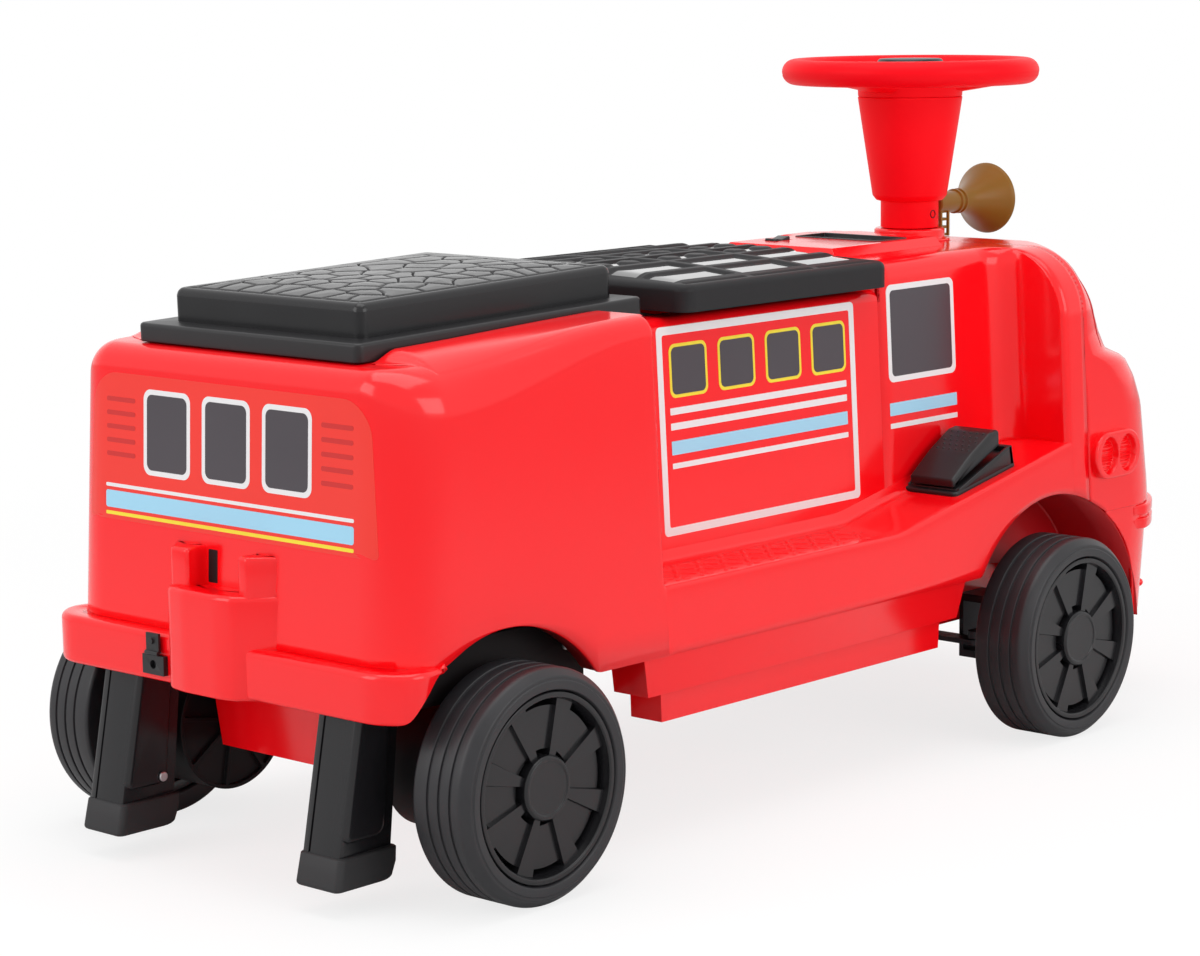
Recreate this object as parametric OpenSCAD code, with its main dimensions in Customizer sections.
// Battery driven ride-on locomotive for a small child.
// +X is forward, +Y is the left side, +Z is up, and the floor is at Z = 0.

/* [Overall] */
// Distance between the axles
wheelbase = 620; // [600:1:660]
// Length behind the rear axle
rear_overhang = 115; // [112:1:130]
// Length ahead of the front axle
front_overhang = 220; // [216:1:240]

/* [Wheels] */
// Wheel diameter
wheel_d = 160; // [154:1:164]
// Tyre width
tyre_w = 49; // [44:1:52]
// Width over the outer faces of the wheels
track_w = 426; // [424:1:440]
// Radius of the seam between tyre and rim
rim_r = 63.6; // [60:0.1:66]
// Hub cap diameter
cap_d = 44; // [40:1:50]
// Axle diameter
axle_d = 10; // [8:0.5:11]
// Number of wheel spokes
spoke_count = 8; // [6:1:12]
// Number of grooves round the tread
groove_count = 3; // [1:1:4]

/* [Body] */
// Width over the body sides at the skirt
body_w = 356; // [352:1:360]
// Draft angle of the body sides
draft = 3; // [2:0.5:4]
// Wall thickness of the shells
wall = 3; // [2.5:0.5:4]
// Height of the lower edge of the body sides
skirt_z = 138; // [136:1:142]
// Height of the footboards
foot_z = 186; // [180:1:190]
// Rear panel behind the rear axle
rear_back = 92; // [90:1:96]
// Front wall of the rear block ahead of the rear axle
rear_front = 160; // [150:1:170]
// Corner radius at the rear
rear_corner_r = 50; // [40:1:55]
// Shoulder radius along the rear block
shoulder_r = 58; // [45:1:62]
// Height of the rear block at its rear edge
rear_z = 358; // [350:1:362]
// Rise of the rear deck towards the front, in degrees
deck_rise = 1.7; // [1:0.1:2]
// Width of the hood at the footboards
hood_w = 228; // [220:1:232]
// Height of the hood
hood_z = 361; // [358:1:364]
// Rear wall of the cab ahead of the rear axle
cab_back = 492; // [490:1:500]
// Height of the cab roof
roof_z = 383; // [380:1:388]
// Shoulder radius along the cab roof
roof_r = 55; // [45:1:60]
// Front wall of the footwells ahead of the rear axle
well_front = 655; // [650:1:660]
// Radius of the cove at the front of the footwells
cove_r = 26; // [20:1:32]
// Foot of the sloping toe boards ahead of the rear axle
ramp_back = 431; // [420:1:440]
// Height of the toe boards at the front wall
ramp_z = 229; // [220:1:235]
// Seam between cab and nose ahead of the rear axle
seam_front = 683; // [680:1:690]
// Depth of the front bumper ahead of the nose
bumper_front = 15; // [12:1:20]
// Corner radius of the nose
nose_r = 80; // [60:1:90]
// Height of the lower edge of the nose
nose_z = 73; // [70:1:80]
// Rear wheel arch radius
rear_arch_r = 104.5; // [100:0.5:106]
// Front wheel arch radius
front_arch_r = 123; // [121:1:124]

/* [Lids] */
// Length of the rear lid
lid_l = 280; // [260:1:284]
// Width of the rear lid
lid_w = 220; // [210:1:230]
// Thickness of the rear lid's tray
tray_h = 13; // [10:1:16]
// Thickness of the rear lid's pebbled top
pebble_h = 23; // [18:1:28]
// Width of the rider's seat
seat_w = 236; // [230:1:244]
// Thickness of the rider's seat
seat_h = 20; // [16:1:22]
// Diameter of the lid hinge pins
hinge_pin_d = 4; // [3:0.5:5]

/* [Steering] */
// Column ahead of the rear axle
column_front = 674; // [670:1:680]
// Height of the steering wheel's rim
wheel_z = 523; // [500:1:540]
// Steering wheel diameter
steer_d = 212; // [190:1:230]
// Thickness of the steering wheel's rim
steer_rim_d = 19; // [15:1:24]
// Diameter of the steering rod
rod_d = 12; // [10:1:14]
// Length of the steering arms and the crank
arm_l = 30; // [26:1:34]
// Kingpin distance from the chassis side
kingpin_off = 26; // [24:1:28]
// Kingpin diameter
kingpin_d = 8; // [7:0.5:9]

/* [Drive] */
// Gear tooth module
tooth_m = 1; // [0.9:0.05:1.1]
// Teeth of the wheel's gear
gear_teeth = 60; // [48:12:60]
// Teeth of the motor's pinion
pinion_teeth = 12; // [12:4:16]
// Gearbox diameter
gearbox_d = 100; // [98:1:104]
// Motor diameter
motor_d = 36; // [32:1:38]
// Motor length
motor_l = 57; // [50:1:60]

/* [Fittings] */
// Running clearance on each side of a shaft
run = 0.05; // [0.02:0.01:0.09]
// Gap between pieces that move past each other
gap = 0.5; // [0.4:0.1:0.8]
// Horn bell diameter
bell_d = 60; // [50:1:66]
// Travel of the horn button
button_travel = 2.5; // [1:0.5:3]
// Pedal width
pedal_w = 46; // [40:1:50]
// Leg width
leg_w = 38; // [34:1:42]
// Hitch width
hitch_w = 68; // [60:1:76]

/* [Hidden] */
$fn = 64;
red = [0.95, 0.13, 0.14];
black = [0.13, 0.13, 0.14];
grey = [0.55, 0.56, 0.58];

rear_x = rear_overhang - (rear_overhang + wheelbase + front_overhang) / 2;
front_x = rear_x + wheelbase;
wheel_r = wheel_d / 2;
axle_r = axle_d / 2;
face_y = track_w / 2;
tyre_y = face_y - tyre_w;
hub_in_y = tyre_y + 2;
hub_out_y = face_y - 11;
web_y = face_y - 12;
washer_y = hub_out_y + gap;
washer_t = 1.6;
axle_end_y = face_y - 7;
cap_r = cap_d / 2;
hub_r = axle_r + 8;
rim_in_r = rim_r - 6.5;

cab_x = rear_x + cab_back;
block_x = rear_x + rear_front;
rear_wall_x = rear_x - rear_back;
well_x = rear_x + well_front;
ramp_x = rear_x + ramp_back;
seam_x = rear_x + seam_front;
column_x = rear_x + column_front;
bumper_x = front_x + front_overhang;
nose_x = bumper_x - bumper_front;
front_arch_x = front_x + 12;
front_arch_z = wheel_r - 13;
rear_arch_z = wheel_r - 2;
rear_draft = 2.3;
top_edge_r = 16;
board_t = 4;
deck_t = 3;
deck_z = skirt_z;
bumper_low_z = skirt_z - 6;
bumper_top_z = skirt_z + 28;
deck_start_x = rear_wall_x + 8;
bumper_end_x = rear_wall_x + 36;
bumper_rear_x = rear_wall_x - 12.5;
ramp_deg = atan((ramp_z - foot_z) / (well_x - ramp_x));
big = 1000;

// Chassis levels
tub_z = 84;
rear_box_z = 70;
step_z = 110;
step1_w = body_w - 9;
step2_w = body_w - 44;
rail1_w = 32;
rail2_w = 29;
tray_z = 90;
tray_w = 192;
front_box_w = 2 * (tyre_y - 60);
kingpin_y = front_box_w / 2 + kingpin_off;
gearbox_in_y = tyre_y - 64;
rear_box_w = 2 * (gearbox_in_y - 22);
rear_box_top_w = 2 * (gearbox_in_y - 8);
liner_y = face_y - 63;

// Rear lid: its own plane rises with the deck
lid_x = rear_x - 67;
lid_tip_x = lid_x + lid_l;
lid_gap = 0.4;
lid_pivot_x = lid_tip_x + 8;
lid_pivot_z = rear_z + lid_gap + (lid_pivot_x - lid_x) * tan(deck_rise) + 4;
hinge_r = hinge_pin_d / 2 + 2.5;
hinge_w = 40;
hinge_y = 62;

// Rider's seat
seat_x = rear_x + 237;
seat_end_x = cab_x - 4.5;
seat_z = hood_z + lid_gap;
seat_top = seat_z + seat_h;
seat_pivot_x = cab_x - 4;
seat_pivot_z = seat_z + seat_h - 5;
seat_hinge_r = 3.5;
seat_pin_r = 1.75;

// Steering levels
plate_z = 70;
plate_t = 4;
arm_z = plate_z + plate_t + gap;
arm_t = 6;
link_pin_r = 3;
collar_h = 10;
neck_z = roof_z + collar_h + gap;
neck_h = 23;
cone_top_z = wheel_z - 21;
neck_r = 24;
cone_low_r = 30.5;
cone_top_r = 43.5;
hub_top_z = wheel_z + 6;
button_r = 28;
steer_tube_r = steer_rim_d / 2;

// Drive
gear_r = tooth_m * gear_teeth / 2;
pinion_r = tooth_m * pinion_teeth / 2;
motor_angle = 45;
motor_off = gear_r + pinion_r;
gearbox_r = gearbox_d / 2;
gearbox_out_y = tyre_y - 2;
gearbox_mid_y = (gearbox_in_y + gearbox_out_y) / 2;
gear_y = gearbox_mid_y + 7;
gear_t = 12;
sleeve_r = axle_r + 9;
shaft_r = 1.6;

// Storage bin and battery bay
bin_x0 = rear_x - 52;
bin_x1 = block_x - 18;
bin_w = 196;
bin_gap = 0.4;
bay_x0 = seat_x + 24;
bay_x1 = seat_end_x - 24;
bay_w = 160;
battery_x = rear_x + 300;
battery_l = 100;
battery_w = 70;
battery_h = 94;

// Boards and cab
board_in_y = hood_w / 2 - wall - 4;
cab_half = hood_w / 2 - (roof_z - foot_z) * tan(draft);
dash_x = cab_x + 6;
dash_end_x = column_x - 34;
dash_w = 104;
dash_h = 7;
insert_x = dash_x + 77;
insert_l = 38;
insert_w = 84;
switch_x = dash_x + 42;
switch_y = 33;
switch_z = roof_z + dash_h - 2;
collar_r = 29;
guide_r = rod_d / 2 + 4;
pedal_x = rear_x + 517;
pedal_y = -139;

// Nose
brow_z = roof_z - 93;
screen_x0 = nose_x - 53;
screen_z0 = roof_z - 86;
screen_x1 = nose_x - 75;
screen_z1 = roof_z - 21;
screen_deg = atan((screen_x0 - screen_x1) / (screen_z1 - screen_z0));
screen_w = 230;
lamp_x = seam_x + 38.5;
lamp_z = skirt_z + 75.5;
lamp_l = 27;
lamp_r = 19;
lamp_h = 6.5;
lamp_in_y = body_w / 2 - 13.5;
horn_x = seam_x + 25;
horn_z = roof_z + 28;

// Hitch, charging socket and legs
hitch_x = rear_x - rear_overhang;
hitch_top_z = bumper_top_z + 36;
hitch_bulge = 4;
slot_y = 6;
slot_w = 12;
slot_h = 24;
prong_x = rear_wall_x - 9;
prong_y = 24;
prong_w = 14;
bumper_r = 34;
jack_y = 55;
jack_z = skirt_z + 6.5;
jack_t = 4;
jack_barrel_r = 5;
cap_pivot_x = bumper_rear_x - jack_t - 0.5;
cap_pivot_z = jack_z + 8.3;
leg_y = tyre_y - 55;
boot_z = 18;
boot_h = 22;

// Front axle
bracket_h = 40;
bracket_z = wheel_r - bracket_h / 2;
knuckle_r = kingpin_d / 2 + 7;
boss_y = gearbox_in_y - 4;

// Rear lid's pebbled top
top_x = 19.5;
top_l = lid_l - 32.5;
top_w = lid_w - 34;

// Chassis ends
sill_x0 = rear_x + 138;
sill_x1 = front_x - 104;
chassis_end_x = front_x + 150;
opening_w = 180;

// Extrusions of an outline along each axis
module along_x(x0, x1) { translate([x0, 0, 0]) rotate([90, 0, 90]) linear_extrude(x1 - x0) children(); }
module along_y(y0, y1) { translate([0, y1, 0]) rotate([90, 0, 0]) linear_extrude(y1 - y0) children(); }
module along_z(z0, z1) { translate([0, 0, z0]) linear_extrude(z1 - z0) children(); }

// A piece and its mirror image on the other side
module both_sides() {
  children();
  mirror([0, 1, 0]) children();
}

// Places a shape made about Z on an axle, with its Z along +Y
module on_axle(x) { translate([x, 0, wheel_r]) rotate([-90, 0, 0]) children(); }

// Places a shape on the right toe board, with its X up the slope
module on_ramp() {
  translate([pedal_x, pedal_y, foot_z + (pedal_x - ramp_x) * tan(ramp_deg)]) rotate(
    [0, -ramp_deg, 0]) children();
}

module box(x0, x1, y0, y1, z0, z1) { translate([x0, y0, z0]) cube([x1 - x0, y1 - y0, z1 - z0]); }

module stadium(l, r) {
  square([l, 2 * r], center = true);
  for (s = [-1, 1]) translate([s * l / 2, 0]) circle(r);
}

module rounded(l, w, r) {
  square([l - 2 * r, w], center = true);
  square([l, w - 2 * r], center = true);
  for (i = [-1, 1], j = [-1, 1]) translate([i * (l / 2 - r), j * (w / 2 - r)]) circle(r);
}

// Arc of points about a centre
function arc(c, r, a0, a1, n) = [for (i = [0:n]) c + r * [cos(a0 + (a1 - a0) * i / n),
  sin(a0 + (a1 - a0) * i / n)]];
function flip(pts) = [for (i = [len(pts) - 1:-1:0]) [-pts[i][0], pts[i][1]]];
// Half the body's width at a height
function half_w(z) = body_w / 2 - max(0, z - skirt_z) * tan(draft);
// Half the hood's width at a height
function hood_half(z) = hood_w / 2 - (z - foot_z) * tan(draft);
// Height of the rear deck at a place along the body
function deck_at(x) = rear_z + (x - lid_x) * tan(deck_rise);
// Rear panel's place at a height
function rear_face(z) = rear_wall_x + (z - skirt_z) * tan(rear_draft);

// Body outline across, inset by t, from z0 up to round shoulders under z1
function body_section(z0, z1, r, t) =
  let (side = concat([[half_w(z0) - t, z0], [half_w(skirt_z) - t, max(z0 + 0.5, skirt_z)]],
    arc([half_w(z1 - r) - r, z1 - r], r - t, 0, 90, 8)))
  concat(side, flip(side));

// Hood outline across, inset by t, from z0 up to z1
function hood_section(z0, z1, r, t) =
  let (side = concat([[hood_half(z0) - t, z0]], arc([hood_half(z1 - r) - r, z1 - r], r - t, 0, 90, 4)))
  concat(side, flip(side));

// Rear block seen from the side, inset by t
function rear_profile(z0, t) =
  let (c = rear_z - top_edge_r)
  concat([[rear_face(z0) + t, z0]], arc([rear_face(c) + top_edge_r, c], top_edge_r - t, 180, 90, 6),
    [[block_x - t, deck_at(block_x) - t], [block_x - t, z0]]);

// Plan with two round corners at the rear, or at the front if s is -1
function plan(x_end, x_open, w, r, t, s) =
  let (half = concat([[x_open, w / 2 - t]], arc([x_end + s * r, w / 2 - r], r - t, 90, 90 + s * 90, 8)))
  concat(half, [for (i = [len(half) - 1:-1:0]) [half[i][0], -half[i][1]]]);

module rear_form(t) {
  z0 = skirt_z - (t > 0 ? 1 : 0);
  intersection() {
    along_x(rear_wall_x, block_x) polygon(body_section(z0, deck_at(block_x), shoulder_r, t));
    along_y(-body_w, body_w) polygon(rear_profile(z0, t));
    along_z(z0, roof_z) polygon(plan(rear_wall_x, block_x, body_w, rear_corner_r, t, 1));
  }
}

module rear_arch() { on_axle_hole(rear_x, rear_arch_z, rear_arch_r); }
module front_arch() { on_axle_hole(front_arch_x, front_arch_z, front_arch_r); }
module on_axle_hole(x, z, r) { translate([x, 0, z]) rotate([90, 0, 0]) cylinder(r = r, h = 2 * body_w,
  center = true, $fn = 96); }

// Sill rails, battery tray, rear box and front box of the chassis, inset by t
module tub_form(t) {
  up = t > 0 ? 1 : 0;
  both_sides() along_y(step1_w / 2 - rail1_w + t, step1_w / 2 - t) polygon([[sill_x0 + 4 + t, step_z + t],
    [sill_x0 + t, deck_z + up], [sill_x1 - t, deck_z + up], [sill_x1 - 12 - t, step_z + t]]);
  both_sides() along_y(step2_w / 2 - rail2_w + t, step2_w / 2 - t) polygon([[sill_x0 + 38 + t, tub_z + t],
    [sill_x0 + 36 + t, deck_z + up], [sill_x1 - 8 - t, deck_z + up], [sill_x1 - 12 - t, tub_z + t]]);
  box(battery_x - 8 + t, battery_x + battery_l + 8 - t, t - tray_w / 2, tray_w / 2 - t, tray_z + t,
    deck_z + up);
  along_x(rear_x - 28 + t, sill_x0 + 15 - t) polygon([[rear_box_w / 2 - t, rear_box_z + t],
    [rear_box_top_w / 2 - t, deck_z + up],
    [t - rear_box_top_w / 2, deck_z + up], [t - rear_box_w / 2, rear_box_z + t]]);
  box(sill_x1 - 20, chassis_end_x - t, t - front_box_w / 2, front_box_w / 2 - t, tub_z + t, deck_z + up);
}

// Chassis with the axle bosses and the foot of the steering column
module chassis() {
  color(red) difference() {
    union() {
      difference() {
        union() {
          tub_form(0);
          box(deck_start_x + gap, rear_x + 99, -liner_y - wall, liner_y + wall, deck_z, deck_z + deck_t);
          box(sill_x0, sill_x1, wall + gap - body_w / 2, body_w / 2 - wall - gap, deck_z,
            deck_z + deck_t);
          box(sill_x1, chassis_end_x, -front_box_w / 2, front_box_w / 2, deck_z, deck_z + deck_t);
        }
        tub_form(wall);
        box(rear_x - 20, column_x + 26, -opening_w / 2, opening_w / 2, deck_z - 1, deck_z + deck_t + 1);
      }
      both_sides() on_axle(rear_x) translate([0, 0, boss_y - 26]) cylinder(r = axle_r + 7, h = 26);
      translate([column_x, 0, tub_z]) cylinder(d = rod_d + 12, h = 16);
    }
    on_axle(rear_x) translate([0, 0, -body_w]) cylinder(r = axle_r + run, h = 2 * body_w);
    on_axle(rear_x) motor_place() translate([0, 0, gearbox_in_y - motor_l]) cylinder(d = motor_d + 0.2,
      h = motor_l);
    translate([column_x, 0, 0]) cylinder(d = rod_d + 2 * run, h = roof_z);
  }
}

// Rear block with its bin mouth, wheel arches and hitch slot
module rear_body() {
  color(red) difference() {
    rear_form(0);
    rear_form(wall);
    rear_arch();
    box(rear_wall_x - 1, bumper_end_x, -body_w, body_w, 0, bumper_top_z);
    box(bin_x0 - bin_gap, bin_x1 + bin_gap, -bin_w / 2 - bin_gap, bin_w / 2 + bin_gap, rear_z - 30, roof_z);
    box(rear_wall_x - 1, rear_wall_x + 20, slot_y, slot_y + slot_w, hitch_top_z, hitch_top_z + slot_h);
    box(block_x - 20, block_x + 1, wall - body_w / 2, body_w / 2 - wall, 0, deck_z + deck_t);
  }
}

// Open tub under the rear lid
module storage_bin() {
  color(black) difference() {
    box(bin_x0, bin_x1, -bin_w / 2, bin_w / 2, deck_z + deck_t, rear_z - 1);
    box(bin_x0 + wall, bin_x1 - wall, wall - bin_w / 2, bin_w / 2 - wall, deck_z + deck_t + wall, rear_z);
  }
}

// Narrow centre tunnel that carries the rider's seat, with the rear lid's hinge ears
module hood() {
  color(red) {
    difference() {
      along_x(block_x, cab_x) polygon(hood_section(foot_z, hood_z, 8, 0));
      along_x(block_x - 1, cab_x + 1) polygon(hood_section(foot_z - 1, hood_z, 8, wall));
      box(bay_x0, bay_x1, -bay_w / 2, bay_w / 2, hood_z - 20, hood_z + 1);
      along_y(-body_w, body_w) polygon(board_line(0));
    }
    hinge_ears(lid_pivot_x, lid_pivot_z, hinge_r, hinge_pin_d / 2, hood_z);
  }
}

// Two pairs of ears that carry a lid's pins, standing on the height z0
module hinge_ears(x, z, r, pin_r, z0) {
  for (s = [-1, 1], e = [-1, 1]) translate([0, s * hinge_y + e * (hinge_w / 2 - 4), 0]) difference() {
    union() {
      along_y(-4, 4) translate([x, z]) circle(r);
      box(x - r, x + r, -4, 4, z0, z);
    }
    along_y(-5, 5) translate([x, z]) circle(pin_r);
  }
}

// Footboards with the sloping toe boards and the side aprons below them
module footboards() {
  color(red) difference() {
    intersection() {
      along_x(block_x, well_x) polygon(body_section(skirt_z, roof_z, roof_r, 0));
      along_y(-body_w, body_w) polygon(board_line(0));
    }
    intersection() {
      along_x(block_x - 1, well_x + 1) polygon(body_section(skirt_z - 1, roof_z, roof_r, wall));
      along_y(-body_w, body_w) polygon(board_line(board_t));
    }
    box(block_x - 1, well_x + 1, -board_in_y, board_in_y, 0, roof_z);
    front_arch();
  }
}

// Outline under the boards, lowered by t
function board_line(t) = [[block_x - 1, 0], [block_x - 1, foot_z - t], [ramp_x, foot_z - t],
  [well_x, ramp_z - t], [well_x + (t > 0 ? 1 : 0), ramp_z - t], [well_x + (t > 0 ? 1 : 0), 0]];

// Footwell beside the cab, grown by t, with its round front corner
module footwell(t) {
  cx = well_x - cove_r;
  cy = cab_half + cove_r;
  both_sides() along_z(0, big) {
    translate([cx, cy]) circle(cove_r + t, $fn = 96);
    translate([cx - 1, cy]) square([well_x + t - cx + 1, big]);
  }
}

// Hole in the roof for the column's guide
module guide_hole() { translate([column_x, 0, roof_z - 50]) cylinder(r = guide_r + 0.2, h = 100); }

module cab_form(t) {
  z0 = foot_z - (t > 0 ? 1 : 0);
  along_x(cab_x + t, well_x) polygon(hood_section(z0, roof_z, 14, t));
  difference() {
    along_x(well_x - cove_r, seam_x + (t > 0 ? 1 : 0)) polygon(body_section(skirt_z - (t > 0 ? 1 : 0),
      roof_z, roof_r, t));
    footwell(t);
  }
}

// Cab behind the nose, flaring from the hood to the full width, with the seat's hinge ears
module cab() {
  color(red) {
    difference() {
      cab_form(0);
      cab_form(wall);
      along_y(-body_w, body_w) polygon(board_line(0));
      front_arch();
      guide_hole();
    }
    for (s = [-1, 1], e = [-1, 1]) translate([0, s * hinge_y + e * (hinge_w / 2 - 4), 0]) difference() {
      union() {
        along_y(-4, 4) translate([seat_pivot_x, seat_pivot_z]) circle(seat_hinge_r);
        box(seat_pivot_x, cab_x, -4, 4, seat_pivot_z - seat_hinge_r, seat_pivot_z + seat_hinge_r);
      }
      along_y(-5, 5) translate([seat_pivot_x, seat_pivot_z]) circle(seat_pin_r);
    }
  }
}

// Nose seen from the side, inset by t
function nose_profile(t) = [[seam_x - (t > 0 ? 1 : 0), nose_z - (t > 0 ? 1 : 0)],
  [nose_x - 11 - t, nose_z - (t > 0 ? 1 : 0)],
  [nose_x - t, brow_z - 120], [nose_x - 8 - t, brow_z - 41], [nose_x - 17 - t, brow_z - 20],
    [nose_x - 29 - t, brow_z - 3],
  [screen_x0 - t, screen_z0], [screen_x1 - t, screen_z1], [screen_x1 - 15 - t, roof_z - t],
    [seam_x - (t > 0 ? 1 : 0), roof_z - t]];

module nose_form(t) {
  z0 = nose_z - (t > 0 ? 1 : 0);
  intersection() {
    along_x(seam_x - (t > 0 ? 1 : 0), nose_x) polygon(body_section(z0, roof_z, roof_r, t));
    along_y(-body_w, body_w) polygon(nose_profile(t));
    along_z(z0, roof_z) polygon(plan(nose_x, seam_x - (t > 0 ? 1 : 0), body_w, nose_r, t, -1));
  }
}

// Front cowl with its wheel arches and the openings for the side lamps
module nose() {
  color(red) difference() {
    nose_form(0);
    nose_form(wall);
    front_arch();
    guide_hole();
    both_sides() along_y(lamp_in_y - 1, body_w) translate([lamp_x, lamp_z]) stadium(lamp_l, lamp_r + 0.2);
  }
}

// Raked screen panel on the front of the nose
module windscreen() {
  d = [cos(screen_deg), sin(screen_deg)];
  color(black) along_y(-screen_w / 2, screen_w / 2) polygon([
    [screen_x0, screen_z0] + 4 * [-sin(screen_deg), cos(screen_deg)],
    [screen_x1, screen_z1], [screen_x1, screen_z1] + 2 * d,
      [screen_x0, screen_z0] + 4 * [-sin(screen_deg), cos(screen_deg)] + 2 * d]);
}

// Belt round the rear of the body, open below
module rear_bumper() {
  w = body_w + 1.6;
  color(red) difference() {
    along_z(bumper_low_z, bumper_top_z) polygon(plan(bumper_rear_x, rear_x, w, bumper_r, 0, 1));
    along_z(bumper_low_z - 1, bumper_top_z - wall) polygon(plan(bumper_rear_x, rear_x, w, bumper_r,
      wall, 1));
    box(bumper_end_x, rear_x + 1, -body_w, body_w, 0, roof_z);
    box(deck_start_x, rear_x + 1, 9 - body_w / 2, body_w / 2 - 9, 0, roof_z);
    rear_arch();
    translate([bumper_rear_x - 1, jack_y, jack_z]) rotate([0, 90, 0]) cylinder(r = jack_barrel_r, h = 10);
  }
}

// Tow hitch: a bulged block with two prongs over a slot in the rear panel
module hitch() {
  color(red) difference() {
    union() {
      along_z(bumper_low_z, hitch_top_z) polygon(concat([[rear_wall_x + 8, hitch_w / 2 + 24]],
        [for (i = [-6:6]) [hitch_x + hitch_bulge * i * i / 36, -i * hitch_w / 12]],
        [[rear_wall_x + 8, -hitch_w / 2 - 24]]));
      both_sides() along_z(hitch_top_z, hitch_top_z + slot_h + 2) polygon([[prong_x, prong_y],
        [prong_x, prong_y + prong_w], [rear_wall_x + 8, prong_y + prong_w + 16],
          [rear_wall_x + 8, prong_y]]);
    }
    rear_form(0);
    box(bumper_rear_x, 0, -body_w, body_w, 0, bumper_top_z);
    box(hitch_x + hitch_bulge + wall, 0, wall - hitch_w / 2, hitch_w / 2 - wall, bumper_low_z + wall,
      hitch_top_z - wall);
  }
}

// Bumper round the front of the nose
module front_bumper() {
  color(red) difference() {
    along_z(skirt_z + 6, skirt_z + 31) polygon(plan(bumper_x, seam_x + 10, body_w + 2, nose_r + 10, 0, -1));
    nose_form(0);
    box(seam_x, nose_x - 52, -body_w, body_w, 0, roof_z);
  }
}

// Twin oval lamps let into each side of the nose
module side_lamps() {
  color(red) both_sides() difference() {
    along_y(lamp_in_y, half_w(lamp_z) + lamp_h) translate([lamp_x, lamp_z]) stadium(lamp_l, lamp_r);
    for (s = [-1, 1]) along_y(half_w(lamp_z) + lamp_h - 4,
      half_w(lamp_z) + lamp_h + 5) translate([lamp_x + s * lamp_l / 2, lamp_z]) circle(lamp_r - 6);
  }
}

// Inner plates of the rear wheel arches
module arch_liners() {
  color(black) both_sides() along_y(liner_y, liner_y + wall) translate([rear_x, 0]) polygon([
    [-72, deck_z + deck_t],
    [-58, rear_arch_z + rear_arch_r - 8], [58, rear_arch_z + rear_arch_r - 8], [98, deck_z + 26],
      [98, deck_z + deck_t]]);
}

// Anti-tip legs that hang behind the rear wheels
function leg_line(z0, z1, t) = [for (p = [[-115, 0], [-67, 0], [-49, 1], [-91.5, 1]])
  [rear_x + (p[1] == 0 ? p[0] + (z0 - boot_z) / (deck_z - boot_z) * (p[0] < -100 ? 23.5 : 18)
    : p[0]) + (p[0] < -80 ? t : -t), p[1] == 0 ? z0 : z1]];

module legs() {
  color(black) both_sides() difference() {
    along_y(leg_y - leg_w / 2, leg_y + leg_w / 2) polygon(leg_line(boot_z + 4, deck_z, 2.1));
    along_y(leg_y - leg_w / 2 + wall, leg_y + leg_w / 2 - wall) polygon(leg_line(boot_z + 4 + wall,
      deck_z + 1, 2.1 + wall));
  }
}

// Rubber boots on the legs
module boots() {
  color(black) both_sides() difference() {
    along_y(leg_y - leg_w / 2 - 2, leg_y + leg_w / 2 + 2) intersection() {
      polygon(leg_line(boot_z, deck_z, 0));
      translate([rear_x - big / 2, boot_z]) square([big, boot_h]);
    }
    along_y(leg_y - leg_w / 2, leg_y + leg_w / 2) polygon(leg_line(boot_z + 4, deck_z, 2.1));
  }
}

// Charging socket beside the hitch
module charge_jack() {
  color(black) difference() {
    union() {
      box(bumper_rear_x - jack_t, bumper_rear_x, jack_y - 11, jack_y + 11, jack_z - 7, jack_z + 6.5);
      translate([bumper_rear_x, jack_y, jack_z]) rotate([0, 90, 0]) cylinder(r = jack_barrel_r - 0.1,
        h = 16);
    }
    translate([bumper_rear_x - jack_t - 1, jack_y, jack_z]) rotate([0, 90, 0]) cylinder(r = 3, h = 12);
  }
}

// Flap that folds down over the charging socket
module jack_cap() {
  color(black) {
    along_y(jack_y - 6.5, jack_y + 6.5) translate([cap_pivot_x, cap_pivot_z]) circle(1.5, $fn = 32);
    box(cap_pivot_x + 0.3, cap_pivot_x + 2.3, jack_y - 6.5, jack_y + 6.5, cap_pivot_z, cap_pivot_z + 13.5);
    translate([cap_pivot_x - 1.5, jack_y, 2 * cap_pivot_z - jack_z]) rotate(
      [0, 90, 0]) cylinder(r = 2.2, h = 2.5);
  }
}

// Raised console behind the steering column
module dash() {
  color(red) difference() {
    intersection() {
      along_y(-body_w, body_w) polygon([[dash_x, roof_z], [dash_x + 5, roof_z + dash_h],
        [dash_end_x, roof_z + dash_h], [dash_end_x, roof_z]]);
      along_x(dash_x, dash_end_x) polygon([[dash_w / 2 + 6, roof_z], [dash_w / 2, roof_z + dash_h],
        [-dash_w / 2, roof_z + dash_h], [-dash_w / 2 - 6, roof_z]]);
    }
    translate([insert_x + insert_l / 2, 0, roof_z + dash_h - 4])
      box(-insert_l / 2 - gap / 2, insert_l / 2 + gap / 2, -insert_w / 2 - gap / 2,
        insert_w / 2 + gap / 2, 0, 40);
    box(switch_x - 11, switch_x + 11, switch_y - 7, switch_y + 7, roof_z + 1, roof_z + 40);
    translate([0, switch_y, 0]) along_y(-10, 10) translate([switch_x, switch_z]) circle(1.5 + run,
      $fn = 32);
  }
}

// Dark panel let into the console
module dash_insert() {
  color(black) box(insert_x, insert_x + insert_l, -insert_w / 2, insert_w / 2, roof_z + dash_h - 4,
    roof_z + dash_h - 1.5);
}

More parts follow.
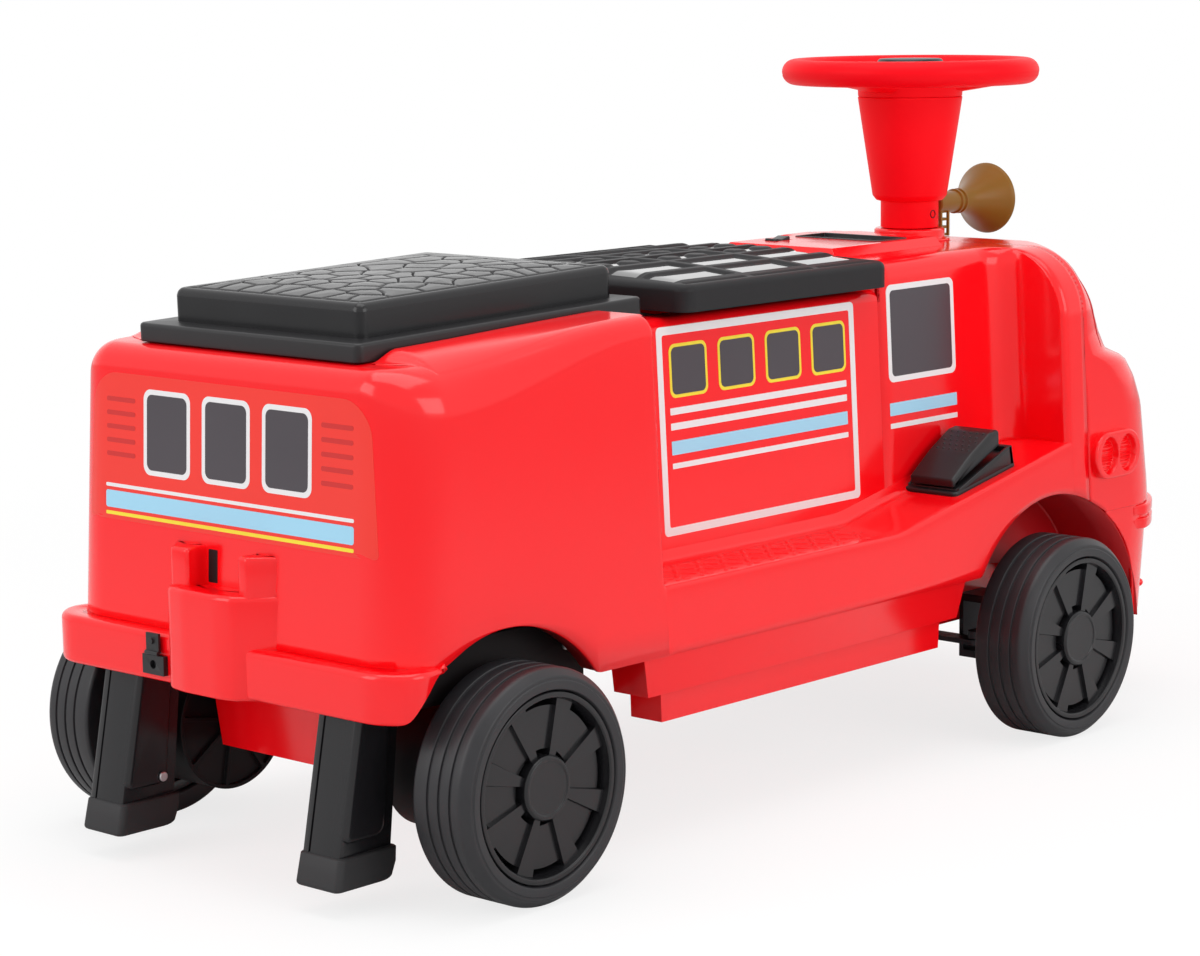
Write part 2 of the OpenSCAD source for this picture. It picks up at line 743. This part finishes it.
// Forward and reverse rocker in the console
module drive_switch() {
  color(black) translate([0, switch_y, 0]) {
    along_y(-6, 6) translate([switch_x, switch_z]) polygon([[-9, 1.5], [-9, 6], [0, 3.5], [9, 8],
      [9, 1.5], [3, -3.2], [-3, -3.2]]);
    along_y(-9.5, 9.5) translate([switch_x, switch_z]) circle(1.5, $fn = 32);
  }
}

// Wedge under the accelerator pedal, with two ears for its pin
module pedal_base() {
  color(black) on_ramp() {
    difference() {
      union() {
        along_y(-pedal_w / 2, pedal_w / 2) polygon([[0, 0], [78, 0], [76, 13], [70, 13], [4, 4], [0, 3.5]]);
        for (s = [-1, 1]) along_y(s * 9 - 2, s * 9 + 2) translate([10, 10]) circle(4);
        for (s = [-1, 1]) box(6.5, 13.5, s * 9 - 2, s * 9 + 2, 4, 10);
      }
      along_y(-20, 20) translate([10, 10]) circle(2 + run, $fn = 32);
      box(48, 62, -5, 5, 4, 30);
    }
  }
}

// Accelerator pedal, hinged at the heel
module pedal() {
  color(black) on_ramp() {
    difference() {
      along_y(2 - pedal_w / 2, pedal_w / 2 - 2) polygon([[3.5, 7.5], [3.5, 13.5], [28, 26], [50, 32.5],
        [67, 33], [67, 19.8], [12, 7.5]]);
      box(-5, 17, -12, 12, 0, 16);
    }
    along_y(-16, 16) translate([10, 10]) circle(2, $fn = 32);
  }
}

// Microswitch under the pedal
module pedal_switch() {
  color(grey) on_ramp() box(48.1, 61.9, -4.9, 4.9, 4, 10.5);
}

// Brass-coloured horn on its ladder bracket
module horn() {
  color([0.55, 0.41, 0.2]) {
    translate([horn_x, 0, horn_z]) rotate([0, 90, 0]) rotate_extrude() polygon(concat([[0, 0], [9, 0]],
      [for (i = [0:8]) [9 + (bell_d / 2 - 9) * pow(i / 8, 1.6), 36 + 38 * i / 8]], [[bell_d / 2, 76],
        [bell_d / 2 - 2, 77]],
      [for (i = [8:-1:0]) [7 + (bell_d / 2 - 10) * pow(i / 8, 1.6), 38 + 38 * i / 8]], [[0, 34]]));
    difference() {
      box(horn_x + 2, horn_x + 14, -6, 6, roof_z, horn_z - 6);
      for (i = [0:1]) box(horn_x + 5, horn_x + 11, -10, 10, roof_z + 4 + 9 * i, roof_z + 9 + 9 * i);
    }
  }
}

// Collar on the roof that guides the steering rod
module column_collar() {
  color(red) translate([column_x, 0, 0]) difference() {
    union() {
      translate([0, 0, roof_z]) cylinder(r = collar_r, h = collar_h);
      translate([0, 0, roof_z - 16]) cylinder(r = guide_r, h = 17);
    }
    translate([0, 0, roof_z - 20]) cylinder(r = rod_d / 2 + run, h = 40);
  }
}

// Steel rod from the steering wheel down to its crank
module steering_rod() {
  color(grey) translate([column_x, 0, 0]) {
    translate([0, 0, arm_z]) cylinder(d = rod_d, h = cone_top_z + 8 - arm_z);
    along_z(arm_z, arm_z + arm_t) translate([-arm_l / 2, 0]) stadium(arm_l, rod_d / 2 + 1);
    translate([-arm_l, 0, plate_z - 1.5]) cylinder(r = link_pin_r, h = arm_z + 2.5 - plate_z);
  }
}

// Flared cover of the column, turning with the wheel
module column_shroud() {
  color(red) translate([column_x, 0, 0]) rotate_extrude() polygon([[rod_d / 2 + run, neck_z],
    [neck_r, neck_z],
    [neck_r, neck_z + neck_h], [cone_low_r - 3, neck_z + neck_h], [cone_low_r, neck_z + neck_h + 3],
      [cone_top_r, cone_top_z],
    [cone_top_r - 3, cone_top_z], [neck_r - 3, neck_z + neck_h + 4], [neck_r - 3, neck_z + 4],
      [rod_d / 2 + 4, neck_z + 4],
    [rod_d / 2 + 4, cone_top_z], [rod_d / 2 + run, cone_top_z]]);
}

// Steering wheel with a round hub and three spokes
module steering_wheel() {
  color(red) translate([column_x, 0, 0]) difference() {
    union() {
      translate([0, 0, wheel_z]) rotate_extrude($fn = 96) translate(
        [steer_d / 2 - steer_tube_r, 0]) circle(steer_tube_r, $fn = 32);
      translate([0, 0, cone_top_z]) cylinder(r1 = cone_top_r, r2 = cone_top_r - 4,
        h = hub_top_z - cone_top_z);
      for (a = [0, 120, 240]) rotate([0, 0, a]) box(-steer_d / 2 + steer_tube_r, -cone_top_r + 8, -17,
        17, wheel_z - 7, wheel_z + 4);
    }
    translate([0, 0, cone_top_z - 1]) cylinder(d = rod_d + 2 * run, h = 10);
    translate([0, 0, hub_top_z - 8]) cylinder(r = button_r + gap, h = 20);
  }
}

// Horn button in the steering wheel's hub
module horn_button() {
  color(black) translate([column_x, 0, hub_top_z - 8 + button_travel + gap]) cylinder(r1 = button_r,
    r2 = button_r - 2, h = 9);
}

// Steel brackets with the kingpins of the front wheels
module axle_brackets() {
  color(grey) both_sides() translate([front_x, 0, 0]) {
    box(-16, 16, front_box_w / 2, front_box_w / 2 + 4, bracket_z - 6, bracket_z + bracket_h + 6);
    for (z = [bracket_z - 6, bracket_z + bracket_h]) box(-16, 16, front_box_w / 2, kingpin_y + 10, z,
      z + 6);
    translate([0, kingpin_y, bracket_z - 6]) cylinder(d = kingpin_d, h = bracket_h + 12);
  }
}

// Steering knuckle with its stub axle and steering arm
module knuckle() {
  color(grey) difference() {
    union() {
      translate([front_x, kingpin_y, bracket_z + gap]) cylinder(r = knuckle_r, h = bracket_h - 2 * gap);
      on_axle(front_x) translate([0, 0, kingpin_y]) cylinder(r = knuckle_r - 2,
        h = hub_in_y - gap - kingpin_y);
      on_axle(front_x) translate([0, 0, kingpin_y]) cylinder(r = axle_r, h = axle_end_y - kingpin_y);
      on_axle(front_x) translate([0, 0, washer_y]) cylinder(r = axle_r + 4, h = washer_t);
      along_z(arm_z, arm_z + arm_t) translate([front_x - arm_l / 2, kingpin_y]) stadium(arm_l, 6);
      translate([front_x - arm_l, kingpin_y, plate_z - 1.5]) cylinder(r = link_pin_r,
        h = arm_z + 2.5 - plate_z);
    }
    translate([front_x, kingpin_y, 0]) cylinder(d = kingpin_d + 2 * run, h = 2 * wheel_r);
  }
}

module knuckle_left() { knuckle(); }
module knuckle_right() { mirror([0, 1, 0]) knuckle(); }

// Plate that ties the two steering arms to the crank
module tie_plate() {
  x0 = front_x - arm_l;
  x1 = column_x - arm_l;
  color(grey) difference() {
    along_z(plate_z, plate_z + plate_t) {
      translate([x0, 0]) rotate(90) stadium(2 * kingpin_y, 8);
      translate([(x0 + x1) / 2, 0]) stadium(x1 - x0, 8);
    }
    translate([x0, kingpin_y, 0]) cylinder(r = link_pin_r + run, h = 2 * wheel_r);
    for (p = [[x0, -kingpin_y], [x1, 0]]) translate(p) cylinder(r = link_pin_r + gap, h = 2 * wheel_r);
  }
}

// Fixed rear axle rod
module rear_axle() {
  color(grey) on_axle(rear_x) translate([0, 0, -axle_end_y]) cylinder(r = axle_r, h = 2 * axle_end_y);
}

// Sleeve and drum on the right of the rear axle
module axle_spacer() {
  color(black) mirror([0, 1, 0]) on_axle(rear_x) difference() {
    union() {
      translate([0, 0, boss_y]) cylinder(r = axle_r + 5, h = hub_in_y - gap - boss_y);
      difference() {
        translate([0, 0, gearbox_in_y]) cylinder(r = gearbox_r - 8, h = gearbox_out_y - gearbox_in_y);
        translate([0, 0, gearbox_in_y + wall]) cylinder(r = gearbox_r - 8 - wall, h = gearbox_out_y);
      }
    }
    cylinder(r = axle_r + run, h = face_y);
  }
}

// Push-on washers that hold the rear wheels
module rear_washers() {
  color(grey) both_sides() on_axle(rear_x) difference() {
    translate([0, 0, washer_y]) cylinder(r = axle_r + 4, h = washer_t);
    cylinder(r = axle_r + 0.02, h = face_y);
  }
}

// Gearbox half with the motor's mount and radial ribs
module gearbox_inner() {
  color(black) on_axle(rear_x) difference() {
    union() {
      translate([0, 0, gearbox_in_y]) cylinder(r = gearbox_r, h = gearbox_mid_y - gearbox_in_y);
      translate([0, 0, gearbox_in_y - 3]) for (i = [0:7]) rotate([0, 0, 45 * i + 10]) translate(
        [12, -1.5, 0]) cube([gearbox_r - 14, 3, 4]);
      translate([0, 0, gearbox_in_y - 3]) difference() {
        cylinder(r = gearbox_r, h = 4);
        translate([0, 0, -1]) cylinder(r = gearbox_r - 3, h = 6);
      }
    }
    translate([0, 0, gearbox_in_y + wall]) cylinder(r = gearbox_r - wall, h = gearbox_mid_y);
    cylinder(r = axle_r + run, h = face_y);
    motor_place() translate([0, 0, gearbox_in_y - 10]) cylinder(d = motor_d + 1, h = 10);
    motor_place() cylinder(r = pinion_r + 2.5, h = face_y);
  }
}

module motor_place() { translate([motor_off * cos(motor_angle), -motor_off * sin(motor_angle),
  0]) children(); }

// Gearbox half next to the wheel
module gearbox_outer() {
  color(black) on_axle(rear_x) difference() {
    translate([0, 0, gearbox_mid_y]) cylinder(r = gearbox_r, h = gearbox_out_y - gearbox_mid_y);
    translate([0, 0, gearbox_mid_y - 1]) cylinder(r = gearbox_r - wall,
      h = gearbox_out_y - wall + 1 - gearbox_mid_y);
    cylinder(r = sleeve_r + 1, h = face_y);
  }
}

// Spur gear outline with straight flanks and backlash
module gear_outline(teeth, turn) {
  r = tooth_m * teeth / 2;
  pitch = 360 / teeth;
  rotate(turn) {
    circle(r - 1.25 * tooth_m, $fn = 4 * teeth);
    for (i = [0:teeth - 1]) rotate(i * pitch) polygon([for (p = [[-0.31, -1.3], [-0.215, 0],
      [-0.1, 0.85], [0.1, 0.85], [0.215, 0], [0.31, -1.3]])
      (r + p[1] * tooth_m) * [cos(p[0] * pitch), sin(p[0] * pitch)]]);
  }
}

// Output gear with the sleeve that drives the left rear wheel
module drive_gear() {
  color("white") on_axle(rear_x) difference() {
    union() {
      translate([0, 0, gear_y]) linear_extrude(gear_t) gear_outline(gear_teeth, -motor_angle);
      translate([0, 0, gear_y + gear_t - 1]) cylinder(r = sleeve_r, h = hub_in_y - gear_y - gear_t + 1);
    }
    cylinder(r = axle_r + run, h = face_y);
  }
}

// Pinion on the motor's shaft
module motor_pinion() {
  color(grey) on_axle(rear_x) motor_place() {
    translate([0, 0, gear_y + 1]) linear_extrude(gear_t - 2) gear_outline(pinion_teeth,
      180 - motor_angle + 180 / pinion_teeth);
    translate([0, 0, gearbox_in_y - 12]) cylinder(r = shaft_r, h = gear_y + gear_t - gearbox_in_y + 10);
  }
}

// Drive motor inside the chassis
module motor() {
  color(grey) on_axle(rear_x) motor_place() difference() {
    translate([0, 0, gearbox_in_y - motor_l]) cylinder(d = motor_d, h = motor_l);
    translate([0, 0, gearbox_in_y - 14]) cylinder(r = shaft_r + run, h = 20);
  }
}

// Battery standing in its tray
module battery() {
  color([0.25, 0.27, 0.3]) {
    box(battery_x, battery_x + battery_l, -battery_w / 2, battery_w / 2, tray_z + wall,
      tray_z + wall + battery_h);
    for (s = [-1, 1]) box(battery_x + 12, battery_x + 18, s * 20 - 3, s * 20 + 3,
      tray_z + wall + battery_h, tray_z + wall + battery_h + 7);
  }
}

// Turns the lid's own level frame onto the rising rear deck
module on_deck() { translate([lid_x, 0, rear_z + lid_gap]) rotate([0, -deck_rise, 0]) children(); }

// Barrels under a lid that turn on its pins
module barrels(x, z, r, pin_r, x_lid, z0, z1) {
  for (s = [-1, 1]) translate([0, s * hinge_y, 0]) difference() {
    union() {
      along_y(gap + 8 - hinge_w / 2, hinge_w / 2 - 8 - gap) translate([x, z]) circle(r);
      along_y(gap + 8 - hinge_w / 2, hinge_w / 2 - 8 - gap) polygon([[x_lid, z0], [x, z - r],
        [x, z + r], [x_lid, z1]]);
    }
    along_y(-hinge_w, hinge_w) translate([x, z]) circle(pin_r + run);
  }
}

// Tray of the rear lid
module rear_lid() {
  color(black) {
    on_deck() difference() {
      along_z(0, tray_h) translate([lid_l / 2, 0]) rounded(lid_l, lid_w, 14);
      along_z(-1, tray_h - wall) translate([lid_l / 2, 0]) rounded(lid_l - 2 * wall, lid_w - 2 * wall,
        14 - wall);
    }
    barrels(lid_pivot_x, lid_pivot_z, hinge_r, hinge_pin_d / 2, lid_tip_x - 4, lid_pivot_z - 2,
      lid_pivot_z + hinge_r);
  }
}

// Pebbled top of the rear lid
module rear_lid_top() {
  color(black) on_deck() difference() {
    union() {
      along_z(tray_h, tray_h + pebble_h - 6) translate([top_x + top_l / 2, 0]) rounded(top_l, top_w, 10);
      along_z(tray_h + pebble_h - 6, tray_h + pebble_h - 2) translate(
        [top_x + top_l / 2, 0]) rounded(top_l - 5, top_w - 5, 10);
      along_z(tray_h + pebble_h - 2, tray_h + pebble_h) translate(
        [top_x + top_l / 2, 0]) rounded(top_l - 14, top_w - 14, 12);
    }
    along_z(tray_h - 1, tray_h + pebble_h - 4 - wall) translate(
      [top_x + top_l / 2, 0]) rounded(top_l - 12, top_w - 12, 6);
  }
}

// Rider's seat over the battery bay
module seat() {
  l = seat_end_x - seat_x;
  color(black) {
    difference() {
      translate([seat_x + l / 2, 0, 0]) {
        along_z(seat_z, seat_z + seat_h - 4) rounded(l, seat_w, 16);
        along_z(seat_z + seat_h - 4, seat_z + seat_h) rounded(l - 6, seat_w - 6, 14);
      }
      for (i = [0:2], j = [0:5]) translate([seat_x + l / 2 + (i - 1) * (l - 18) / 3,
        (j - 2.5) * (seat_w - 18) / 6, seat_top - 2])
        box(9 / 2 - (l - 18) / 6, (l - 18) / 6 - 9 / 2, 9 / 2 - (seat_w - 18) / 12,
          (seat_w - 18) / 12 - 9 / 2, 0, 5);
      along_z(seat_z - 1, seat_z + seat_h - 2 - wall) translate(
        [seat_x + l / 2 - 10, 0]) rounded(l - 2 * wall - 20, seat_w - 2 * wall, 12);
      for (s = [-1, 1]) box(seat_end_x - 14, seat_end_x + 1, s * hinge_y - hinge_w / 2 - 1,
        s * hinge_y + hinge_w / 2 + 1, seat_z - 1, seat_z + seat_h + 1);
    }
    barrels(seat_pivot_x, seat_pivot_z, seat_hinge_r, seat_pin_r, seat_end_x - 14, seat_z,
      seat_z + seat_h - 2);
  }
}

// Pins of both lids
module hinge_pins() {
  color(grey) for (s = [-1, 1]) translate([0, s * hinge_y, 0]) {
    along_y(-hinge_w / 2, hinge_w / 2) translate([lid_pivot_x, lid_pivot_z]) circle(hinge_pin_d / 2);
    along_y(-hinge_w / 2, hinge_w / 2) translate([seat_pivot_x, seat_pivot_z]) circle(seat_pin_r);
  }
}

// Screw heads on the arch liners and the legs
module body_screws() {
  color(grey) both_sides() {
    along_y(liner_y + wall, liner_y + wall + 2) translate([rear_x + 80, deck_z + 18]) circle(4);
    along_y(leg_y - leg_w / 2 - 2, leg_y - leg_w / 2) translate([rear_x - 74, deck_z - 84]) circle(3.5);
  }
}

// Tyre round the rim, with grooves in its tread
module tyre(x) {
  r = wheel_r;
  color(black) on_axle(x) difference() {
    rotate_extrude($fn = 128) polygon(concat([[rim_r + 0.1, tyre_y + 2], [r - 12, tyre_y]], arc(
      [r - 8, tyre_y + 8], 8, -90, 0, 5),
      arc([r - 8, face_y - 8], 8, 0, 90, 5), [[rim_r + 4, face_y], [rim_r + 0.1, face_y - 2.5]]));
    for (i = [1:groove_count]) translate([0, 0,
      tyre_y + tyre_w * i / (groove_count + 1)]) rotate_extrude($fn = 128)
      translate([r - 1.5, -0.9]) square([4, 1.8]);
  }
}

// Dished rim with wedge spokes round the hub
module rim(x) {
  color(black) on_axle(x) {
    rotate_extrude($fn = 128) polygon([[axle_r + run, hub_in_y], [hub_r, hub_in_y], [hub_r, web_y - 4],
      [rim_in_r, web_y - 4],
      [rim_in_r, tyre_y + 3], [rim_r, tyre_y + 3], [rim_r, face_y - 2], [rim_in_r + 1.5, face_y - 2],
        [rim_in_r, web_y],
      [hub_r, web_y], [hub_r, hub_out_y], [axle_r + run, hub_out_y]]);
    for (i = [0:spoke_count - 1]) rotate([0, 0, 360 * i / spoke_count + 20]) translate([0, 0, web_y])
      linear_extrude(6) polygon([[cap_r + 1, -3.5], [rim_in_r, -7], [rim_in_r, 7], [cap_r + 1, 3.5]]);
  }
}

// Hub cap over the axle's end
module cap(x) {
  color(black) on_axle(x) difference() {
    union() {
      translate([0, 0, web_y]) cylinder(r = cap_r, h = face_y - 3 - web_y);
      translate([0, 0, face_y - 3]) cylinder(r1 = cap_r, r2 = cap_r - 3, h = 2);
    }
    translate([0, 0, web_y - 1]) cylinder(r = hub_r + 2, h = face_y - 5 - web_y + 1);
  }
}

chassis();
rear_body();
storage_bin();
hood();
footboards();
cab();
nose();
windscreen();
rear_bumper();
hitch();
front_bumper();
side_lamps();
arch_liners();
legs();
boots();
charge_jack();
jack_cap();
dash();
dash_insert();
drive_switch();
pedal_base();
pedal();
pedal_switch();
horn();
column_collar();
steering_rod();
column_shroud();
steering_wheel();
horn_button();
axle_brackets();
knuckle_left();
knuckle_right();
tie_plate();
rear_axle();
axle_spacer();
rear_washers();
gearbox_inner();
gearbox_outer();
drive_gear();
motor();
motor_pinion();
battery();
rear_lid();
rear_lid_top();
seat();
hinge_pins();
body_screws();
tyre(rear_x);  // tyre_rear_left
rim(rear_x);  // rim_rear_left
cap(rear_x);  // cap_rear_left
mirror([0, 1, 0]) tyre(rear_x);  // tyre_rear_right
mirror([0, 1, 0]) rim(rear_x);  // rim_rear_right
mirror([0, 1, 0]) cap(rear_x);  // cap_rear_right
tyre(front_x);  // tyre_front_left
rim(front_x);  // rim_front_left
cap(front_x);  // cap_front_left
mirror([0, 1, 0]) tyre(front_x);  // tyre_front_right
mirror([0, 1, 0]) rim(front_x);  // rim_front_right
mirror([0, 1, 0]) cap(front_x);  // cap_front_right
